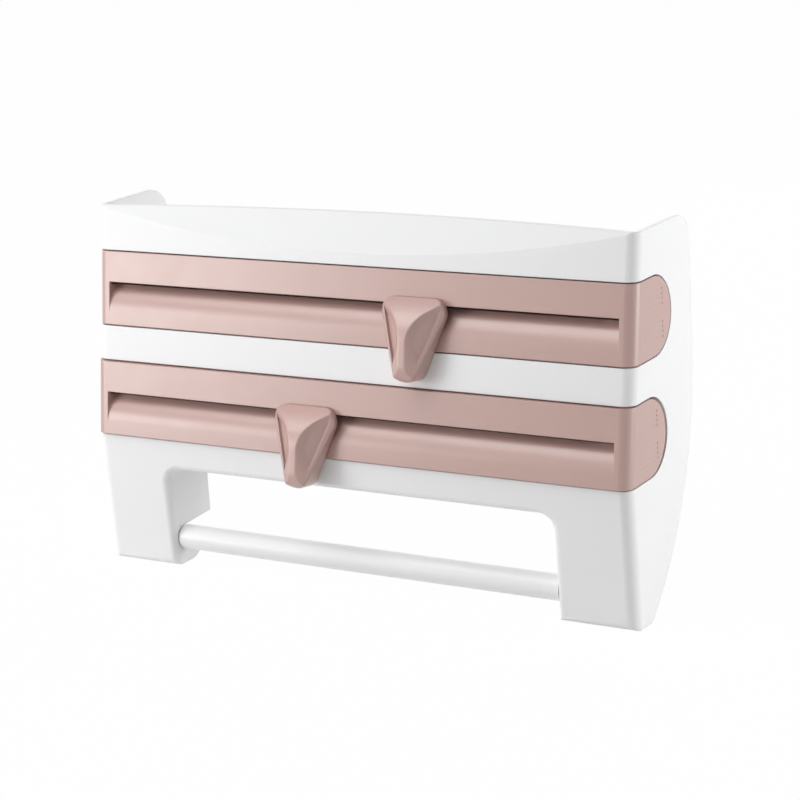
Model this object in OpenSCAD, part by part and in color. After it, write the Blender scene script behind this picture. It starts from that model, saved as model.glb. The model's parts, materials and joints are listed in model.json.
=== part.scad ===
// Wall-mounted kitchen roll dispenser: an open tray on top, two pull-out film drawers with sliding
// cutters, and a lift-out bar for a roll of paper towel between two legs.
// Millimetres. X runs to the right, Y from the front to the wall, Z up.
// The origin is the centre of the four wall screw holes, on the plane of the wall.

/* [Overall] */
// Width over the side walls
overall_width = 390; // [350:1:440]
// Height from the feet to the top of the side walls
overall_height = 240; // [236:1:262]
// Greatest depth of the housing, from the wall to the front
housing_depth = 95; // [92:0.5:108]
// Wall thickness of the housing
wall = 2.5; // [2:0.1:3]
// Rounding of the upright front corners
front_corner = 8; // [5:0.5:11]

/* [Front and back faces] */
// Lean of the front face, in degrees
front_lean = 8; // [6:0.1:9]
// Lean of the leg fronts towards the wall, in degrees
leg_lean = 3.2; // [1:0.1:5]
// Drop of the curved brow below the top, at the middle
brow_drop = 21.5; // [16:0.5:23]
// Slope of the brow, in degrees
brow_slope = 45; // [35:1:50]
// Drop of the back rim of the tray below the top
back_rim_drop = 18; // [14:0.5:22]
// Rounding of the upper back corner of the side walls
top_back_corner = 19; // [12:0.5:22]
// Radius of the curved lower back
back_radius = 200; // [180:1:260]
// Height above the feet where the flat back ends
back_flat_level = 150; // [140:1:155]

/* [Drawers] */
// Height of a drawer
drawer_height = 48; // [44:0.5:49]
// Depth of a drawer from its front to its round back
drawer_depth = 51; // [48:0.5:54]
// Drop of the upper drawer's middle below the top
upper_drawer_drop = 53.7; // [52:0.1:56]
// Distance between the middles of the two drawers
drawer_pitch = 72; // [70:0.5:74]
// Gap around a drawer
drawer_gap = 0.9; // [0.5:0.1:0.9]
// Wall thickness of a drawer
drawer_wall = 2.4; // [2:0.1:3]
// Thickness of a drawer's round end plates
end_plate = 3.2; // [2.8:0.1:4]
// Distance that the lower drawer stands out
lower_drawer_pull = 2; // [0:0.5:8]
// Height of the flat strip above the film slot
strip_height = 20; // [18:0.5:22]
// Depth of the rounded lip at the film slot
lip_depth = 12; // [10:0.5:13]
// Height of the rounded lip
lip_height = 20; // [18:0.5:22]
// Solid width left at each end of the film slot
slot_end = 10; // [8:0.5:12]
// Width of the film slot below the strip
film_slot = 2; // [1.6:0.1:3.6]

/* [Cutters] */
// Place of the upper cutter along its rail
upper_cutter_x = 49; // [-120:1:120]
// Place of the lower cutter along its rail
lower_cutter_x = -27.5; // [-120:0.5:120]
// Length of a cutter carriage
carriage_length = 24; // [20:1:30]
// Running gap of a carriage on its rail
carriage_gap = 0.3; // [0.2:0.05:0.4]
// Width of a knob across its shoulders
knob_width = 44.5; // [42:0.5:48]
// Height of a knob
knob_height = 51.5; // [49:0.5:53]
// Distance that a knob's crest stands proud
knob_proud = 18; // [16:0.5:20]
// Half the width of a knob's crest
knob_crest = 2.4; // [2:0.1:4]
// Slope of a knob's flanks, in degrees
knob_flank = 36; // [32:1:40]
// Rim between a finger scoop and the side of a knob, at its lower end
knob_rim = 1.9; // [1.5:0.1:2.5]
// Depth of a finger scoop
scoop_depth = 1.6; // [1:0.1:2]
// Thickness of a blade
blade_thickness = 0.5; // [0.4:0.1:0.6]

/* [Legs] */
// Width of a leg
leg_width = 53; // [48:0.5:58]
// Height of the gap between the legs
leg_gap_height = 68.5; // [64:0.5:72]
// Rounding of the upper corners of the gap
leg_gap_corner = 10; // [8:0.5:14]
// Edge rounding of the gap
leg_gap_edge = 5; // [3:0.5:6]
// Distance from the wall to the back of the inner leg walls
leg_wall_setback = 48; // [44:0.5:52]

/* [Towel bar] */
// Diameter of the bar
bar_diameter = 16.4; // [16:0.1:17.5]
// Bore of the bar
bar_bore = 13; // [12:0.1:13.6]
// Diameter of the end plugs where they sit in the leg slots
journal_diameter = 15; // [14.4:0.1:15.4]
// Running gap between the plugs and the bore
bar_fit = 0.05; // [0.02:0.01:0.1]
// Height of the bar above the feet
bar_level = 18; // [16:0.5:22]
// Distance from the foremost line of the front to the bar
bar_inset = 16.5; // [15:0.5:18]
// Rise of the bar slots towards the wall, in degrees
slot_rise = 3; // [0:0.5:5]
// Gap around a plug in its slot
slot_gap = 0.4; // [0.3:0.1:0.8]

/* [Back panel] */
// Thickness of the back panel
panel_thickness = 2.5; // [2:0.1:3]
// Gap around the back panel
panel_gap = 0.3; // [0.2:0.1:0.6]
// Height of the middle of the wall screw holes above the feet
hole_level = 183; // [180:1:186]
// Distance between the wall screw holes, side to side
hole_spacing_x = 300; // [260:5:320]
// Distance between the wall screw holes, up and down
hole_spacing_z = 40; // [30:1:44]
// Diameter of a wall screw hole
hole_diameter = 5; // [4.4:0.1:6]
// Diameter of the panel screws
panel_screw = 3; // [2.6:0.1:3.4]
// Distance between the panel screws
panel_screw_spacing = 110; // [95:1:120]

/* [Hidden] */

$fn = 96;
white = [0.95, 0.95, 0.95];
pink = [0.86, 0.72, 0.69];
steel = [0.7, 0.71, 0.73];
big_fn = 720;
over = 1;
far = 300;
slack = 0.01;

// Heights in the frame of the wall holes
half_width = overall_width / 2;
foot_z = -hole_level;
top_z = overall_height - hole_level;
back_flat_z = back_flat_level - hole_level;
upper_z = top_z - upper_drawer_drop;
lower_z = upper_z - drawer_pitch;
channel_half = drawer_height / 2 + drawer_gap;
kink_z = lower_z - channel_half;
leg_front_wall = wall + 0.3;
hollow_top_z = upper_z + channel_half;
tray_floor_z = hollow_top_z + wall;
gap_top_z = foot_z + leg_gap_height;
body_floor_z = gap_top_z + wall;
floor_rise = (housing_depth + over) * tan(leg_lean);
leg_inner = half_width - leg_width;
foot_front_corner = 6;
foot_back_corner = 11;

// Front plane above the lower drawer's lower edge, and the leg fronts below it
function front_y(z) = -housing_depth + (z - kink_z) * tan(front_lean);
function leg_y(z) = -housing_depth + (kink_z - z) * tan(leg_lean);
// Back face: flat above, curved below
function back_y(z) = z > back_flat_z ? 0 : -back_radius + sqrt(pow(back_radius, 2) - pow(back_flat_z - z, 2));
// Middle of a drawer's round back
function drawer_arc_y(z) = front_y(z) + drawer_depth - drawer_height / 2;
function unit(v) = v / norm(v);
function chord_radius(half, rise) = (half * half + rise * rise) / (2 * rise);

// Brow: a large cylinder laid along the slope, meeting the top at the two front corners
brow_z = top_z - brow_drop;
brow_y = front_y(brow_z);
brow_rise = brow_drop * (cos(brow_slope) - sin(brow_slope) * tan(front_lean));
brow_radius = chord_radius(half_width, brow_rise);

// Drawer front, measured from the front plane inwards and upwards from the drawer's middle
slot_top = drawer_height / 2 - strip_height;
slot_bottom = slot_top - film_slot;
lip_radius = chord_radius(lip_height, lip_depth);
lip_start = slot_top - lip_height;
strip_thickness = 3;
ledge = 11;
slot_half = half_width - slot_end;
inner_half = half_width - end_plate;
function lip_n(s) = lip_radius - sqrt(pow(lip_radius, 2) - pow(s - lip_start, 2));

// Grip grooves on the round ends
grip_length = 28;
grip_radius = 2.4;
grip_depth = 0.3;
grip_pitch = 3;
grip_offset = 10;
grip_count = 4;

// Cutter rail: a T section behind the strip
rail_foot = 1.6;
rail_head = 2.6;
rail_foot_height = 4;
rail_height = 8;
rail_s = slot_top + 7;
rail_n = strip_thickness;
stop_length = 12;
stop_half = half_width - slot_end - 2;
stop_inner = stop_half - stop_length;
rail_half = stop_inner + 3;
stop_depth = rail_foot + rail_head + 2.4;
stop_height = rail_height + 4;
stop_screw_x = stop_half - 4;
rail_screw_r = 1;
rail_screw_head_r = 1.9;
rail_screw_head = 1.3;
rail_screw_bite = 1.8;
rail_screw_slot = 0.6;

// Cutter carriage, arm, blade and knob
carriage_wall = 2;
carriage_n = rail_n + carriage_gap;
carriage_back_n = rail_n + rail_foot + rail_head + carriage_gap + carriage_wall;
carriage_top = rail_s + rail_height / 2 + carriage_gap + carriage_wall;
carriage_bottom = rail_s - rail_height / 2 - carriage_gap - carriage_wall;
arm_top = slot_top - 0.4;
arm_bottom = arm_top - 2.4;
arm_width = 16;
arm_back_n = lip_n(arm_bottom) - 0.4;
knob_gap = 0.4;
tongue_depth = 4.5;
blade_half = 7;
blade_base_n = 0.8;
blade_side_n = 3.2;
blade_tip_n = lip_n(arm_bottom - blade_thickness) - 0.4;
cutter_screw_r = 0.8;
cutter_screw_head_r = 1.6;
cutter_screw_head = 1.2;
cutter_screw_n = 2.6;
cutter_screw_slot = 0.5;
knob_top = slot_top + 4.3;
knob_low = knob_top - knob_height;
knob_round = 9;
knob_tip_round = 9.2;
knob_edge = 1.2;
knob_bevel = 4;
knob_bevel_n = 6.5;
knob_slope = 45;
bow_radius = 28;
tip_bow = 12;
knob_shoulder = [knob_width / 2 - knob_round, knob_top - knob_round];
knob_tip = [0, knob_low + knob_tip_round];
knob_side = tangent_normal(knob_shoulder, knob_round, knob_tip, knob_tip_round);
knob_roof = knob_proud + knob_crest * tan(knob_flank);
scoop_ring = 20;
scoop_wall = 5.5;
scoop_s = knob_top - knob_height / 2;
scoop_x = knob_crest + 0.4 + scoop_ring * cos(knob_flank);
scoop_n = knob_roof - scoop_x * tan(knob_flank);
rim_turn = 2.6;
// Direction in which two circles share a tangent, on the right of the way from b to a
function tangent_normal(a, ra, b, rb) =
    let (e = unit(a - b), t = (rb - ra) / norm(a - b))
        e * t + [e[1], -e[0]] * sqrt(1 - t * t);

// Towel bar
bar_y = -housing_depth + bar_inset;
bar_z = foot_z + bar_level;
bar_end_gap = 1;
bar_half = leg_inner - bar_end_gap;
plug_stub = 15;
plug_shoulder_gap = 0.3;
plug_reach = wall + 6;
plug_chamfer = 1.2;

// Back panel and its screws
panel_half = half_width - wall - panel_gap;
panel_low_z = body_floor_z + floor_rise + panel_gap;
panel_high_z = hollow_top_z - panel_gap;
boss_radius = 4.5;
pilot_depth = 9;
screw_seat = 1.6;
screw_land = 3;
screw_head_r = panel_screw * 0.95;
screw_head = 2;
screw_clear = 0.2;
screw_slot = 0.8;
screw_rows = [upper_z, lower_z];
screw_columns = [-panel_screw_spacing, 0, panel_screw_spacing];
function seat_y(z) = back_y(z - boss_radius) - screw_seat - screw_head;
function land_y(z) = seat_y(z) - screw_land;

// Lays a section drawn in Y and Z along X
module along_x(length) {
    rotate([90, 0, 90])
        linear_extrude(height = length, center = true)
            children();
}

// Places pieces on a drawer's front: Y inwards, Z up the front
module on_front(z, pull) {
    translate([0, front_y(z) - pull, z])
        rotate([-front_lean, 0, 0])
            children();
}

// Places pieces on the leg fronts: Y inwards, Z up the leg
module on_legs() {
    translate([0, -housing_depth, kink_z])
        rotate([leg_lean, 0, 0])
            children();
}

// Makes a pair, one at each side
module both_sides() {
    children();
    mirror([1, 0, 0])
        children();
}

// What a rounding takes off the corner b of an outline
module corner_cut(a, b, c, r) {
    u = unit(a - b);
    v = unit(c - b);
    half = acos(u * v) / 2;
    reach = r / tan(half);
    middle = b + unit(u + v) * r / sin(half);
    difference() {
        polygon([b - unit(u + v), b + u * reach, middle, b + v * reach]);
        translate(middle)
            circle(r = r + slack);
    }
}

// What a rounding takes off a square corner at the origin, solid towards plus X and plus Y
module square_corner_cut(r) {
    difference() {
        translate([-over, -over])
            square(r + over);
        translate([r, r])
            circle(r = r + slack);
    }
}

// Back boundary of the housing, moved inwards by an amount
module back_region(inset) {
    translate([-back_radius, back_flat_z])
        circle(r = back_radius - inset, $fn = big_fn);
    translate([-far, back_flat_z])
        square([far - inset, far]);
}

module side_outline() {
    foot_front = [leg_y(foot_z), foot_z];
    foot_back = [back_y(foot_z), foot_z];
    kink = [-housing_depth, kink_z];
    top_front = [front_y(top_z), top_z];
    top_back = [0, top_z];
    low_back = [0, back_flat_z];
    difference() {
        intersection() {
            polygon([foot_front, kink, top_front, top_back, [0, foot_z]]);
            back_region(0);
        }
        corner_cut(kink, foot_front, foot_back, foot_front_corner);
        corner_cut(foot_front, foot_back, [back_y(foot_z + over), foot_z + over], foot_back_corner);
        corner_cut(top_front, top_back, low_back, top_back_corner);
    }
}

// A drawer's channel, open to the front
module channel_section(z, grow) {
    r = channel_half + grow;
    translate([drawer_arc_y(z), z])
        circle(r = r);
    translate([drawer_arc_y(z) - far, z - r])
        square([far, 2 * r]);
}

module body_hollow_section() {
    difference() {
        polygon([[leg_y(body_floor_z) + wall, body_floor_z], [-housing_depth + wall, kink_z],
            [front_y(hollow_top_z) + wall, hollow_top_z], [over, hollow_top_z], [over, body_floor_z + floor_rise]]);
        channel_section(upper_z, wall);
        channel_section(lower_z, wall);
    }
}

module leg_hollow_section() {
    low = foot_z + wall;
    high = body_floor_z + floor_rise + over;
    polygon([[leg_y(low) + leg_front_wall, low], [leg_y(high) + leg_front_wall, high], [over, high], [over, low]]);
}

// Rounds the corners of the leaning front from a height above its lower edge, for the outside or for a hollow
module front_corner_cuts(inset, from) {
    both_sides()
        translate([half_width - inset, -housing_depth + inset, kink_z])
            rotate([-front_lean, 0, 0])
                translate([0, 0, from])
                    linear_extrude(height = far)
                        mirror([1, 0])
                            square_corner_cut(front_corner - inset);
}

// Rounds the outer corners of the legs
module leg_corner_cuts(inset) {
    both_sides()
        translate([half_width - inset, -housing_depth + inset, kink_z])
            rotate([leg_lean, 0, 0])
                translate([0, 0, channel_half - far])
                    linear_extrude(height = far)
                        mirror([1, 0])
                            square_corner_cut(front_corner - inset);
}

// The brow's surface as a large cylinder above it
module brow_cut(grow) {
    translate([0, brow_y, brow_z])
        rotate([brow_slope, 0, 0])
            translate([0, 0, brow_radius])
                rotate([90, 0, 0])
                    cylinder(r = brow_radius + grow, h = far, center = true, $fn = big_fn);
}

// Space of the tray, up to the inside of the front wall and the brow
module tray_cut() {
    length = overall_width - 2 * wall;
    difference() {
        along_x(length)
            polygon([[front_y(tray_floor_z) + wall, tray_floor_z], [front_y(far) + wall, far], [-wall, far],
                [-wall, tray_floor_z]]);
        brow_cut(wall);
        front_corner_cuts(wall, drawer_pitch);
    }
    translate([-length / 2, -2 * wall, top_z - back_rim_drop])
        cube([length, 3 * wall, far]);
}

// Front view of the gap between the legs
module gap_outline(low, top) {
    straight = leg_inner - leg_gap_corner;
    translate([-leg_inner, low])
        square([2 * leg_inner, top - leg_gap_corner - low]);
    translate([-straight, low])
        square([2 * straight, top - low]);
    both_sides()
        translate([straight, top - leg_gap_corner])
            circle(r = leg_gap_corner);
}

// The gap between the legs with rounded edges at the front
module leg_gap() {
    top = gap_top_z - kink_z;
    straight = leg_inner - leg_gap_corner;
    low = -far;
    on_legs() {
        translate([0, far, 0])
            rotate([90, 0, 0])
                linear_extrude(height = far + over)
                    gap_outline(low, top);
        translate([-straight, 0, top])
            rotate([90, 0, 90])
                linear_extrude(height = 2 * straight)
                    square_corner_cut(leg_gap_edge);
        both_sides() {
            translate([leg_inner, 0, low])
                linear_extrude(height = top - leg_gap_corner - low)
                    square_corner_cut(leg_gap_edge);
            translate([straight, 0, top - leg_gap_corner])
                rotate([-90, 0, 0])
                    rotate([0, 0, -90])
                        rotate_extrude(angle = 90)
                            translate([leg_gap_corner, 0])
                                square_corner_cut(leg_gap_edge);
        }
    }
}

// Slot for a bar plug, open towards the wall
module bar_slot() {
    r = journal_diameter / 2 + slot_gap;
    translate([leg_inner - over, bar_y, bar_z])
        rotate([slot_rise, 0, 0]) {
            rotate([0, 90, 0])
                cylinder(r = r, h = wall + 2 * over);
            translate([0, 0, -r])
                cube([wall + 2 * over, -bar_y, 2 * r]);
        }
}

module panel_bosses() {
    for (z = screw_rows)
        for (x = screw_columns)
            translate([x, land_y(z), z])
                rotate([90, 0, 0])
                    cylinder(r = boss_radius, h = land_y(z) - drawer_arc_y(z) - channel_half - wall / 2);
}

module pilot_holes() {
    for (z = screw_rows)
        for (x = screw_columns)
            translate([x, land_y(z) + over, z])
                rotate([90, 0, 0])
                    cylinder(d = panel_screw, h = pilot_depth + over);
}

module housing() {
    color(white)
        difference() {
            union() {
                difference() {
                    along_x(overall_width)
                        side_outline();
                    difference() {
                        union() {
                            along_x(overall_width - 2 * wall)
                                body_hollow_section();
                            both_sides()
                                translate([leg_inner + leg_width / 2, 0, 0])
                                    along_x(leg_width - 2 * wall)
                                        leg_hollow_section();
                        }
                        front_corner_cuts(wall, 1.5 * channel_half);
                        leg_corner_cuts(wall);
                    }
                    translate([-leg_inner - wall, -leg_wall_setback, foot_z - over])
                        cube([2 * leg_inner + 2 * wall, far, gap_top_z - foot_z + over]);
                }
                panel_bosses();
            }
            along_x(overall_width + 2 * over)
                channel_section(upper_z, 0);
            along_x(overall_width + 2 * over)
                channel_section(lower_z, 0);
            tray_cut();
            brow_cut(0);
            front_corner_cuts(0, 1.5 * channel_half);
            leg_corner_cuts(0);
            leg_gap();
            both_sides()
                bar_slot();
            pilot_holes();
        }
}

module back_panel() {
    color(white)
        difference() {
            union() {
                along_x(2 * panel_half)
                    intersection() {
                        difference() {
                            back_region(0);
                            back_region(panel_thickness);
                        }
                        translate([-far / 2, panel_low_z])
                            square([far, panel_high_z - panel_low_z]);
                    }
                for (z = screw_rows)
                    for (x = screw_columns)
                        translate([x, back_y(z - boss_radius) - panel_thickness / 2, z])
                            rotate([90, 0, 0])
                                cylinder(r = boss_radius, h = back_y(z - boss_radius) - panel_thickness / 2 - land_y(z));
            }
            for (x = [-1, 1])
                for (z = [-1, 1])
                    translate([x * hole_spacing_x / 2, over, z * hole_spacing_z / 2])
                        rotate([90, 0, 0])
                            cylinder(d = hole_diameter, h = panel_thickness + 2 * over);
            for (z = screw_rows)
                for (x = screw_columns)
                    translate([x, over, z])
                        rotate([90, 0, 0]) {
                            cylinder(r = screw_head_r + 2 * screw_clear, h = over - seat_y(z));
                            cylinder(d = panel_screw + 2 * screw_clear, h = 2 * over - land_y(z));
                        }
        }
}

module back_panel_screws() {
    slot = screw_head_r * 1.3;
    color(steel)
        for (z = screw_rows)
            for (x = screw_columns)
                translate([x, seat_y(z), z])
                    rotate([90, 0, 0])
                        difference() {
                            union() {
                                cylinder(d = panel_screw, h = screw_land + pilot_depth - over);
                                translate([0, 0, -screw_head])
                                    cylinder(r = screw_head_r, h = screw_head);
                            }
                            for (turn = [0, 90])
                                rotate([0, 0, turn])
                                    translate([-slot / 2, -screw_slot / 2, -screw_head - over])
                                        cube([slot, screw_slot, over + screw_head / 2]);
                        }
}

// Solid of a drawer, with its leaning front
module drawer_section(z) {
    low = z - drawer_height;
    high = z + drawer_height;
    intersection() {
        union() {
            translate([drawer_arc_y(z), z])
                circle(d = drawer_height);
            translate([drawer_arc_y(z) - far, z - drawer_height / 2])
                square([far, drawer_height]);
        }
        polygon([[front_y(low), low], [front_y(high), high], [0, high], [0, low]]);
    }
}

// Room for the roll, open at the top
module trough_section(z) {
    r = drawer_height / 2 - drawer_wall;
    low = z - drawer_height;
    high = z + drawer_height;
    step = strip_thickness / cos(front_lean);
    intersection() {
        union() {
            translate([drawer_arc_y(z), z])
                circle(r = r);
            translate([drawer_arc_y(z) - far, z - r])
                square([far, 2 * r]);
            translate([front_y(z) + ledge, z])
                square([drawer_depth - ledge - drawer_height / 2 + r / 2, drawer_height]);
        }
        polygon([[front_y(low) + step, low], [front_y(high) + step, high], [0, high], [0, low]]);
    }
}

// Material kept behind the rounded lip, drawn inwards and upwards on the front
module lip_keep_section() {
    low = -drawer_height;
    inner = lip_radius - drawer_wall;
    difference() {
        translate([-over, low])
            square([lip_depth + over, slot_bottom - low]);
        translate([lip_radius, lip_start])
            circle(r = inner);
        translate([drawer_wall, low])
            square([lip_radius, lip_start - low]);
    }
}

// What the film slot takes off the front
module slot_section() {
    difference() {
        translate([-over, lip_start])
            square([lip_depth + over, lip_height]);
        translate([lip_radius, lip_start])
            circle(r = lip_radius + slack);
    }
}

module grip_grooves(z, pull) {
    middle = front_y(z) + drawer_depth / 2 - pull;
    for (group = [-1, 1])
        for (i = [0:grip_count - 1])
            translate([half_width + grip_radius - grip_depth, middle - grip_length / 2,
                z + group * grip_offset + (i - (grip_count - 1) / 2) * grip_pitch])
                rotate([-90, 0, 0])
                    cylinder(r = grip_radius, h = grip_length);
}

module drawer(z, pull) {
    color(pink)
        difference() {
            translate([0, -pull, 0])
                difference() {
                    along_x(overall_width)
                        drawer_section(z);
                    difference() {
                        along_x(2 * inner_half)
                            trough_section(z);
                        on_front(z, 0)
                            along_x(overall_width)
                                lip_keep_section();
                    }
                    front_corner_cuts(0, -drawer_height);
                }
            on_front(z, pull) {
                along_x(2 * slot_half)
                    slot_section();
                both_sides()
                    translate([stop_screw_x, strip_thickness + over, rail_s])
                        rotate([90, 0, 0])
                            cylinder(r = rail_screw_r, h = over + rail_screw_bite);
            }
            both_sides()
                grip_grooves(z, pull);
        }
}

module rail_section() {
    translate([rail_n, rail_s - rail_foot_height / 2])
        square([rail_foot + over, rail_foot_height]);
    translate([rail_n + rail_foot, rail_s - rail_height / 2])
        square([rail_head, rail_height]);
}

module cutter_rail(z, pull) {
    color(white)
        on_front(z, pull)
            along_x(2 * rail_half)
                rail_section();
}

module rail_stops(z, pull) {
    color(white)
        on_front(z, pull)
            difference() {
                both_sides()
                    translate([stop_inner, rail_n, rail_s - stop_height / 2])
                        cube([stop_length, stop_depth, stop_height]);
                along_x(2 * rail_half)
                    rail_section();
                both_sides()
                    translate([stop_screw_x, rail_n + stop_depth + over, rail_s])
                        rotate([90, 0, 0])
                            cylinder(r = rail_screw_r, h = stop_depth + 2 * over);
            }
}

module rail_screws(z, pull) {
    slot = rail_screw_head_r * 1.3;
    color(steel)
        on_front(z, pull)
            both_sides()
                translate([stop_screw_x, rail_n + stop_depth, rail_s])
                    rotate([90, 0, 0])
                        difference() {
                            union() {
                                cylinder(r = rail_screw_r, h = stop_depth + rail_screw_bite);
                                translate([0, 0, -rail_screw_head])
                                    cylinder(r = rail_screw_head_r, h = rail_screw_head);
                            }
                            for (turn = [0, 90])
                                rotate([0, 0, turn])
                                    translate([-slot / 2, -rail_screw_slot / 2, -rail_screw_head - over])
                                        cube([slot, rail_screw_slot, over + rail_screw_head / 2]);
                        }
}

module carriage_section() {
    difference() {
        translate([carriage_n, carriage_bottom])
            square([carriage_back_n - carriage_n, carriage_top - carriage_bottom]);
        translate([rail_n + rail_foot - carriage_gap, rail_s - rail_height / 2 - carriage_gap])
            square([rail_head + 2 * carriage_gap, rail_height + 2 * carriage_gap]);
        translate([rail_n, rail_s - rail_foot_height / 2 - carriage_gap])
            square([rail_foot + carriage_gap, rail_foot_height + 2 * carriage_gap]);
    }
}

module cutter_carriage(z, pull, x) {
    color(white)
        on_front(z, pull)
            translate([x, 0, 0])
                difference() {
                    union() {
                        along_x(carriage_length)
                            carriage_section();
                        translate([-arm_width / 2, carriage_n, arm_bottom])
                            cube([arm_width, arm_back_n - carriage_n, carriage_bottom - arm_bottom + over / 2]);
                        translate([-arm_width / 2, -knob_gap - tongue_depth, arm_bottom])
                            cube([arm_width, knob_gap + tongue_depth + arm_back_n, arm_top - arm_bottom]);
                    }
                    translate([0, cutter_screw_n, arm_bottom - over])
                        cylinder(r = cutter_screw_r, h = over + (arm_top - arm_bottom) * 0.8);
                }
}

module cutter_blade(z, pull, x) {
    color(steel)
        on_front(z, pull)
            translate([x, 0, arm_bottom - blade_thickness])
                difference() {
                    linear_extrude(height = blade_thickness)
                        polygon([[-blade_half, blade_base_n], [blade_half, blade_base_n], [blade_half, blade_side_n],
                            [0, blade_tip_n], [-blade_half, blade_side_n]]);
                    translate([0, cutter_screw_n, -over])
                        cylinder(r = cutter_screw_r, h = blade_thickness + 2 * over);
                }
}

module cutter_screw(z, pull, x) {
    color(steel)
        on_front(z, pull)
            translate([x, cutter_screw_n, arm_bottom - blade_thickness])
                difference() {
                    union() {
                        cylinder(r = cutter_screw_r, h = blade_thickness + (arm_top - arm_bottom) * 0.75);
                        translate([0, 0, -cutter_screw_head])
                            cylinder(r = cutter_screw_head_r, h = cutter_screw_head);
                    }
                    translate([-cutter_screw_head_r, -cutter_screw_slot / 2, -cutter_screw_head - over])
                        cube([2 * cutter_screw_head_r, cutter_screw_slot, over + cutter_screw_head / 2]);
                }
}

// Shield outline of a knob
module knob_outline() {
    flip = [[-1, 0], [0, 1]];
    low = knob_tip + knob_side * (knob_tip_round - slack);
    high = knob_shoulder + knob_side * (knob_round - slack);
    top = knob_shoulder + [0, knob_round - slack];
    translate(knob_tip)
        circle(r = knob_tip_round);
    for (p = [knob_shoulder, flip * knob_shoulder])
        translate(p)
            circle(r = knob_round);
    polygon([low, high, top, flip * top, flip * high, flip * low]);
}

// Side view of a knob: a bevel at the top, a slope up to the crest, and a round tip
module knob_side_section() {
    top = [-knob_edge, knob_top];
    bevel = [-knob_bevel_n, knob_top - knob_bevel];
    brow = [-knob_proud, bevel[1] - (knob_proud - knob_bevel_n) * tan(knob_slope)];
    chin = [-knob_proud, knob_low - over];
    base = [-knob_gap, knob_low - over];
    difference() {
        polygon([base, [-knob_gap, knob_top + over], top + unit(top - bevel) * over, bevel, brow, chin]);
        corner_cut(bevel, brow, chin, bow_radius);
        corner_cut(brow, chin, base, tip_bow);
    }
}

// Top view of a knob: flanks that fall away from the crest
module knob_plan_section() {
    half = knob_width / 2 + over;
    low = knob_roof - half * tan(knob_flank);
    high = knob_proud + over;
    crest = (knob_roof - high) / tan(knob_flank);
    polygon([[-half, over], [-half, -low], [-crest, -high], [crest, -high], [half, -low], [half, over]]);
}

// Dished finger scoops in the flanks, each ending at a straight rim along the knob's side
module knob_scoops() {
    rim = knob_tip + knob_side * (knob_tip_round - knob_rim);
    lean = atan2(knob_side[1], knob_side[0]) + rim_turn;
    both_sides()
        intersection() {
            translate([scoop_x, -scoop_n, scoop_s])
                rotate([90, 0, knob_flank])
                    translate([0, 0, -scoop_depth])
                        cylinder(r1 = scoop_ring - scoop_wall, r2 = scoop_ring + scoop_wall * over / scoop_depth,
                            h = scoop_depth + over);
            translate([rim[0], 0, rim[1]])
                rotate([0, -lean, 0])
                    translate([-far, -far, -far / 2])
                        cube(far);
        }
}

module cutter_knob(z, pull, x) {
    color(pink)
        on_front(z, pull)
            translate([x, 0, 0])
                difference() {
                    intersection() {
                        rotate([90, 0, 0])
                            linear_extrude(height = knob_proud + over)
                                knob_outline();
                        along_x(knob_width + 2 * over)
                            knob_side_section();
                        translate([0, 0, knob_low - over])
                            linear_extrude(height = knob_height + 2 * over)
                                knob_plan_section();
                    }
                    knob_scoops();
                    translate([-arm_width / 2, -knob_gap - tongue_depth, arm_bottom])
                        cube([arm_width, tongue_depth + over, arm_top - arm_bottom]);
                }
}

module upper_drawer() {
    translate([0, front_y(upper_z) - front_y(lower_z) + lower_drawer_pull, drawer_pitch])
        lower_drawer();
}

module upper_cutter_rail() {
    cutter_rail(upper_z, 0);
}

module upper_rail_stops() {
    rail_stops(upper_z, 0);
}

module upper_rail_screws() {
    rail_screws(upper_z, 0);
}

module upper_cutter_carriage() {
    cutter_carriage(upper_z, 0, upper_cutter_x);
}

module upper_cutter_knob() {
    cutter_knob(upper_z, 0, upper_cutter_x);
}

module upper_cutter_blade() {
    cutter_blade(upper_z, 0, upper_cutter_x);
}

module upper_cutter_screw() {
    cutter_screw(upper_z, 0, upper_cutter_x);
}

module lower_drawer() {
    drawer(lower_z, lower_drawer_pull);
}

module lower_cutter_rail() {
    cutter_rail(lower_z, lower_drawer_pull);
}

module lower_rail_stops() {
    rail_stops(lower_z, lower_drawer_pull);
}

module lower_rail_screws() {
    rail_screws(lower_z, lower_drawer_pull);
}

module lower_cutter_carriage() {
    cutter_carriage(lower_z, lower_drawer_pull, lower_cutter_x);
}

module lower_cutter_knob() {
    cutter_knob(lower_z, lower_drawer_pull, lower_cutter_x);
}

module lower_cutter_blade() {
    cutter_blade(lower_z, lower_drawer_pull, lower_cutter_x);
}

module lower_cutter_screw() {
    cutter_screw(lower_z, lower_drawer_pull, lower_cutter_x);
}

// A plug: a stub inside the bar, and a journal that sits in the leg's slot
module bar_plug() {
    shoulder = bar_half + plug_shoulder_gap;
    reach = leg_inner + plug_reach - shoulder;
    color(white)
        translate([shoulder, bar_y, bar_z])
            rotate([0, 90, 0]) {
                cylinder(d = journal_diameter, h = reach - plug_chamfer);
                translate([0, 0, reach - plug_chamfer])
                    cylinder(d1 = journal_diameter, d2 = journal_diameter - 2 * plug_chamfer, h = plug_chamfer);
                translate([0, 0, -plug_stub])
                    cylinder(d = bar_bore - 2 * bar_fit, h = plug_stub + over);
            }
}

module right_bar_plug() {
    bar_plug();
}

module left_bar_plug() {
    mirror([1, 0, 0])
        bar_plug();
}

module towel_bar() {
    color(white)
        translate([-bar_half, bar_y, bar_z])
            rotate([0, 90, 0])
                difference() {
                    cylinder(d = bar_diameter, h = 2 * bar_half);
                    translate([0, 0, -over])
                        cylinder(d = bar_bore, h = 2 * bar_half + 2 * over);
                }
}

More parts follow.
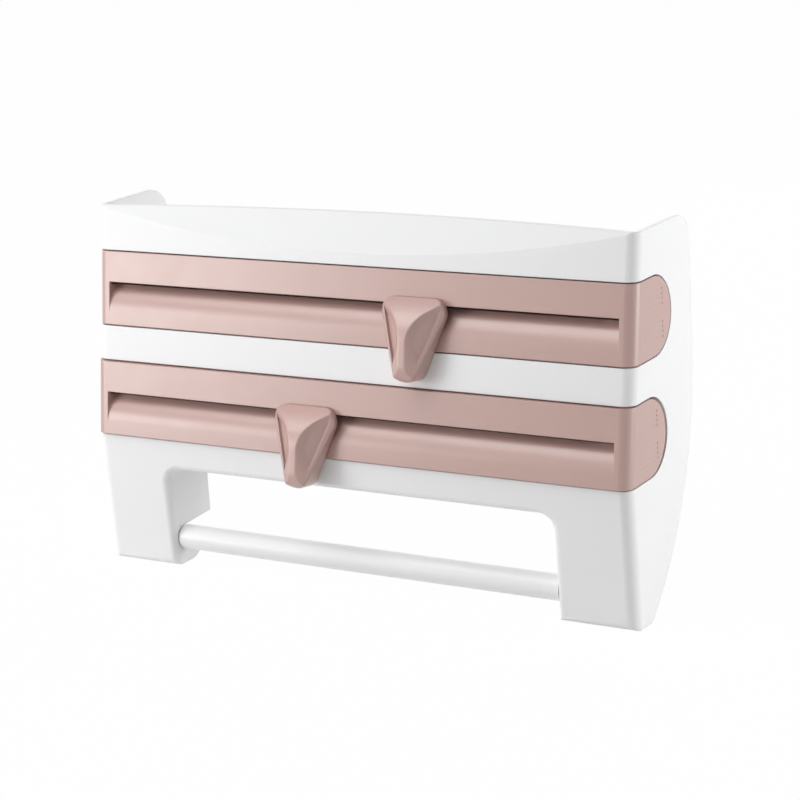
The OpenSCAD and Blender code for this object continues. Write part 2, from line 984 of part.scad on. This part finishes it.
housing();
back_panel();
back_panel_screws();
upper_drawer();
upper_cutter_rail();
upper_rail_stops();
upper_rail_screws();
upper_cutter_carriage();
upper_cutter_knob();
upper_cutter_blade();
upper_cutter_screw();
lower_drawer();
lower_cutter_rail();
lower_rail_stops();
lower_rail_screws();
lower_cutter_carriage();
lower_cutter_knob();
lower_cutter_blade();
lower_cutter_screw();
left_bar_plug();
right_bar_plug();
towel_bar();
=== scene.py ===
"""Looks of a wall-mounted kitchen roll dispenser: moulded plastics, steel, soft studio light."""

import json
import math
from typing import NamedTuple

import bpy
from mathutils import Matrix, Vector


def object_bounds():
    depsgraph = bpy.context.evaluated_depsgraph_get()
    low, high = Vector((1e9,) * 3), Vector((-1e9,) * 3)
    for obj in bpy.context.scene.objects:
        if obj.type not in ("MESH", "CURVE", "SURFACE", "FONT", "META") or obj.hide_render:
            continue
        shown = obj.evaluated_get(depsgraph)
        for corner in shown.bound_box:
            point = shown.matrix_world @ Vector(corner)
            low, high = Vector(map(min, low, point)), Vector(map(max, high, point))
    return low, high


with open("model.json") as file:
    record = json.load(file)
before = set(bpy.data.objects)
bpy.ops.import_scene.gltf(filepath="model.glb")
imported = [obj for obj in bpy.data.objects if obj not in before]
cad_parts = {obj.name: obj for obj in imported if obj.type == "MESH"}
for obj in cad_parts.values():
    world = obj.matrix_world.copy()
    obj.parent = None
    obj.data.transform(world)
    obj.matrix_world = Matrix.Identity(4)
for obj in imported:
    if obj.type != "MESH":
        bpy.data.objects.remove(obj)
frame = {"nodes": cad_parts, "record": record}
cad_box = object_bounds()

MM = 0.001


class Plastic(NamedTuple):
    """A moulded plastic. Colours are linear, lengths in metres."""

    colour: tuple
    cloud_share: float  # of the colour, taken off where clouds are darkest
    rough: tuple  # lowest and highest
    grain_size: float
    grain_depth: float
    specular: float
    edge: float  # radius of its rounded edges


class Steel(NamedTuple):
    """A metal with fine lines along one axis. Colours are linear, lengths in metres."""

    colour: tuple
    rough: tuple  # lowest and highest
    along: int  # axis of the lines, 0 for X and 1 for Y
    grain_depth: float
    edge: float  # radius of its rounded edges


# Finish of each material slot
WHITE = (0.905, 0.907, 0.910)
PANEL = (0.840, 0.842, 0.845)
PINK = (0.515, 0.330, 0.294)
KNOB_PINK = (0.555, 0.355, 0.316)
RAIL = (0.780, 0.780, 0.770)
ZINC = (0.560, 0.570, 0.590)
BLADE = (0.680, 0.690, 0.710)
PLASTICS = {
    "white_plastic": Plastic(WHITE, 0.003, (0.42, 0.48), 0.7 * MM, 0.002 * MM, 0.2, 0.9 * MM),
    "panel_plastic": Plastic(PANEL, 0.03, (0.48, 0.60), 0.5 * MM, 0.02 * MM, 0.5, 0.4 * MM),
    "pink_plastic": Plastic(PINK, 0.02, (0.32, 0.37), 0.5 * MM, 0.003 * MM, 1.0, 0.8 * MM),
    "knob_plastic": Plastic(KNOB_PINK, 0.02, (0.30, 0.36), 0.5 * MM, 0.004 * MM, 1.0, 2.2 * MM),
    "rail_plastic": Plastic(RAIL, 0.03, (0.40, 0.52), 0.5 * MM, 0.005 * MM, 0.5, 0.3 * MM),
    "bar_plastic": Plastic(WHITE, 0.003, (0.30, 0.36), 0.7 * MM, 0.002 * MM, 0.5, 0.5 * MM),
}
STEELS = {
    "screw_steel": Steel(ZINC, (0.28, 0.42), 1, 0.004 * MM, 0.15 * MM),
    "blade_steel": Steel(BLADE, (0.20, 0.34), 0, 0.003 * MM, 0.05 * MM),
}

# Patterns that all plastics share, in metres
CLOUD_SIZE = 45 * MM
GLOSS_SIZE = 12 * MM
WAVE_SIZE = 9 * MM
WAVE_DEPTH = 0.006 * MM

# Patterns that both steels share: line width and tarnish size in metres
LINE_SIZE = 0.25 * MM
LINE_STRETCH = 0.04
TARNISH_SIZE = 2.5 * MM
TARNISH_SHARE = 0.12

# Span of a noise's usual values, and how much of each finer octave it keeps
NOISE_LOW = 0.3
NOISE_HIGH = 0.7
NOISE_ROUGHNESS = 0.55

# Shading of edges
EDGE_SAMPLES = 6
SHARP_ANGLE = math.radians(28)
WELD_DISTANCE = 0.005 * MM

# Strength of the even fill from all round, where a seen white is 1
OPAQUE_WHITE = (1.0, 1.0, 1.0, 1.0)
FILL_STRENGTH = 0.20

# Floor: lengths in metres, and as its glow the share of it that is shown as plain white
FLOOR_COLOUR = (0.80, 0.80, 0.80)
FLOOR_CLOUD_SHARE = 0.01
FLOOR_CLOUD_SIZE = 30 * MM
FLOOR_SIZE = 30.0
FLOOR_GAP = 0.1 * MM
FLOOR_GLOW = 0.985

# Lamps: place in metres, width in metres, watts
LAMPS = {
    "key": ((-0.92, -0.92, 0.08), 0.6, 6.2),
    "side": ((1.22, 0.38, 0.12), 0.8, 10.4),
    "top": ((-0.30, -0.55, 0.90), 0.9, 7.3),
    "back": ((0.00, 1.40, 0.60), 0.9, 7.0),
}

# Camera fitted to the photograph: place in metres, angles in degrees
CAMERA_PLACE = (0.75766, -1.28060, 0.31918)
CAMERA_YAW = 31.12
CAMERA_PITCH = 14.94
CAMERA_ROLL = -3.30
LENS_MM = 105.24
SENSOR_MM = 36.0


def add_node(tree, kind, inputs=None, **settings):
    """A new node of that kind with its settings, and its inputs set or linked."""
    made = tree.nodes.new(kind)
    for name, value in settings.items():
        setattr(made, name, value)
    for name, value in (inputs or {}).items():
        if isinstance(value, bpy.types.NodeSocket):
            tree.links.new(value, made.inputs[name])
        else:
            made.inputs[name].default_value = value
    return made


def new_material(name):
    """A material, its tree, its Principled shader and the object's own coordinates."""
    material = bpy.data.materials.new(name)
    material.use_nodes = True
    tree = material.node_tree
    place = add_node(tree, "ShaderNodeTexCoord").outputs["Object"]
    return material, tree, tree.nodes["Principled BSDF"], place


def noise(tree, place, size, detail=3.0):
    """Noise whose features are about that many metres across, with detail as its finer octaves."""
    made = add_node(
        tree,
        "ShaderNodeTexNoise",
        {"Vector": place, "Scale": 1.0 / size, "Detail": detail, "Roughness": NOISE_ROUGHNESS},
    )
    return made.outputs["Fac"]


def between(tree, factor, low, high):
    """A number from low to high where the factor runs over a noise's usual span."""
    made = add_node(
        tree,
        "ShaderNodeMapRange",
        {"Value": factor, "From Min": NOISE_LOW, "From Max": NOISE_HIGH, "To Min": low, "To Max": high},
    )
    return made.outputs["Result"]


def clouded(tree, factor, colour, share):
    """The colour, and the same darker by that share, mixed by the factor."""
    ramp = add_node(tree, "ShaderNodeValToRGB", {"Fac": factor})
    dark, full = ramp.color_ramp.elements
    dark.position = NOISE_LOW
    full.position = NOISE_HIGH
    dark.color = [c * (1.0 - share) for c in colour] + [1.0]
    full.color = [*colour, 1.0]
    return ramp.outputs["Color"]


def relief(tree, shader, edge, *layers):
    """Edges rounded to that radius, then bump from layers of (height factor, height in metres)."""
    normal = add_node(tree, "ShaderNodeBevel", {"Radius": edge}, samples=EDGE_SAMPLES).outputs["Normal"]
    for height, depth in layers:
        inputs = {"Height": height, "Distance": depth, "Strength": 1.0, "Normal": normal}
        normal = add_node(tree, "ShaderNodeBump", inputs).outputs["Normal"]
    tree.links.new(normal, shader.inputs["Normal"])


def plastic(name, look):
    """Moulded plastic: faint clouds of colour, uneven gloss, slow waves and a fine grain."""
    material, tree, shader, place = new_material(name)
    cloud = noise(tree, place, CLOUD_SIZE)
    gloss = noise(tree, place, GLOSS_SIZE)
    waves = noise(tree, place, WAVE_SIZE, detail=1.0)
    grain = noise(tree, place, look.grain_size, detail=2.0)
    tree.links.new(clouded(tree, cloud, look.colour, look.cloud_share), shader.inputs["Base Color"])
    tree.links.new(between(tree, gloss, *look.rough), shader.inputs["Roughness"])
    relief(tree, shader, look.edge, (waves, WAVE_DEPTH), (grain, look.grain_depth))
    shader.inputs["Specular IOR Level"].default_value = look.specular
    return material


def steel(name, look):
    """Metal with fine lines along one axis and faint tarnish."""
    material, tree, shader, place = new_material(name)
    stretch = [1.0, 1.0, 1.0]
    stretch[look.along] = LINE_STRETCH
    drawn = add_node(tree, "ShaderNodeMapping", {"Vector": place, "Scale": stretch})
    lines = noise(tree, drawn.outputs["Vector"], LINE_SIZE, detail=4.0)
    tarnish = noise(tree, place, TARNISH_SIZE)
    tree.links.new(clouded(tree, tarnish, look.colour, TARNISH_SHARE), shader.inputs["Base Color"])
    tree.links.new(between(tree, lines, *look.rough), shader.inputs["Roughness"])
    relief(tree, shader, look.edge, (lines, look.grain_depth))
    shader.inputs["Metallic"].default_value = 1.0
    return material


def soften(part):
    """Smooth shading that keeps flat faces flat and sharp edges sharp."""
    for polygon in part.data.polygons:
        polygon.use_smooth = True
    weld = part.modifiers.new("weld", "WELD")
    weld.merge_threshold = WELD_DISTANCE
    split = part.modifiers.new("split", "EDGE_SPLIT")
    split.split_angle = SHARP_ANGLE
    split.use_edge_sharp = False
    even = part.modifiers.new("even", "WEIGHTED_NORMAL")
    even.mode = "FACE_AREA"
    even.keep_sharp = True


def dress_parts():
    """Gives each CAD node its slot's material and smooth shading."""
    finish = {name: plastic(name, look) for name, look in PLASTICS.items()}
    finish |= {name: steel(name, look) for name, look in STEELS.items()}
    for part in frame["record"]["subparts"]:
        shown = frame["nodes"][part["node"]]
        shown.data.materials.clear()
        shown.data.materials.append(finish[part["material_slot"]])
        soften(shown)


def seen_rays(tree):
    """1 for rays that show the background: from the camera, in gloss and through glass."""
    path = add_node(tree, "ShaderNodeLightPath").outputs
    glossy = add_node(tree, "ShaderNodeMath", operation="MAXIMUM")
    tree.links.new(path["Is Camera Ray"], glossy.inputs[0])
    tree.links.new(path["Is Glossy Ray"], glossy.inputs[1])
    through = add_node(tree, "ShaderNodeMath", operation="MAXIMUM")
    tree.links.new(glossy.outputs[0], through.inputs[0])
    tree.links.new(path["Is Transmission Ray"], through.inputs[1])
    return through.outputs[0]


def mix_shaders(tree, share, first, second, output):
    """Sends the first shader, replaced by the second to that share, to the output node."""
    mix = add_node(tree, "ShaderNodeMixShader", {"Fac": share})
    tree.links.new(first.outputs[0], mix.inputs[1])
    tree.links.new(second.outputs[0], mix.inputs[2])
    tree.links.new(mix.outputs[0], tree.nodes[output].inputs["Surface"])


def build_world():
    """White where it is seen, and a soft even fill elsewhere."""
    world = bpy.data.worlds.new("studio")
    world.use_nodes = True
    tree = world.node_tree
    fill = tree.nodes["Background"]
    fill.inputs["Color"].default_value = OPAQUE_WHITE
    fill.inputs["Strength"].default_value = FILL_STRENGTH
    seen = add_node(tree, "ShaderNodeBackground", {"Color": OPAQUE_WHITE, "Strength": 1.0})
    mix_shaders(tree, seen_rays(tree), fill, seen, "World Output")
    bpy.context.scene.world = world


def build_floor():
    """A pale floor under the feet that looks nearly white, with a trace of the object's shadow."""
    half = FLOOR_SIZE / 2
    level = cad_box[0].z - FLOOR_GAP
    mesh = bpy.data.meshes.new("floor")
    corners = [(-half, -half, level), (half, -half, level), (half, half, level), (-half, half, level)]
    mesh.from_pydata(corners, [], [(0, 1, 2, 3)])
    floor = bpy.data.objects.new("floor", mesh)
    bpy.context.scene.collection.objects.link(floor)
    material, tree, shader, place = new_material("floor_paper")
    paper = noise(tree, place, FLOOR_CLOUD_SIZE)
    tree.links.new(clouded(tree, paper, FLOOR_COLOUR, FLOOR_CLOUD_SHARE), shader.inputs["Base Color"])
    shader.inputs["Roughness"].default_value = 1.0
    shader.inputs["Specular IOR Level"].default_value = 0.0
    glow = add_node(tree, "ShaderNodeEmission", {"Strength": 1.0})
    share = add_node(tree, "ShaderNodeMath", operation="MULTIPLY")
    tree.links.new(seen_rays(tree), share.inputs[0])
    share.inputs[1].default_value = FLOOR_GLOW
    mix_shaders(tree, share.outputs[0], shader, glow, "Material Output")
    mesh.materials.append(material)


def build_lights():
    """Square soft lamps: a key at the front left, one at the right wall, one above and one behind."""
    centre = (cad_box[0] + cad_box[1]) / 2
    for name, (place, size, watts) in LAMPS.items():
        light = bpy.data.lights.new(name, "AREA")
        light.size = size
        light.energy = watts
        lamp = bpy.data.objects.new(name, light)
        lamp.location = place
        lamp.rotation_euler = (centre - Vector(place)).to_track_quat("-Z", "Y").to_euler()
        bpy.context.scene.collection.objects.link(lamp)


def build_camera():
    """The camera that was fitted to the photograph."""
    data = bpy.data.cameras.new("camera")
    data.lens = LENS_MM
    data.sensor_width = SENSOR_MM
    camera = bpy.data.objects.new("camera", data)
    turn = Matrix.Rotation(math.radians(CAMERA_YAW), 4, "Z")
    turn @= Matrix.Rotation(math.radians(90.0 - CAMERA_PITCH), 4, "X")
    turn @= Matrix.Rotation(math.radians(CAMERA_ROLL), 4, "Z")
    camera.matrix_world = Matrix.Translation(CAMERA_PLACE) @ turn
    bpy.context.scene.collection.objects.link(camera)
    bpy.context.scene.camera = camera


dress_parts()
build_world()
build_floor()
build_lights()
build_camera()
bpy.context.scene.view_settings.view_transform = "Standard"
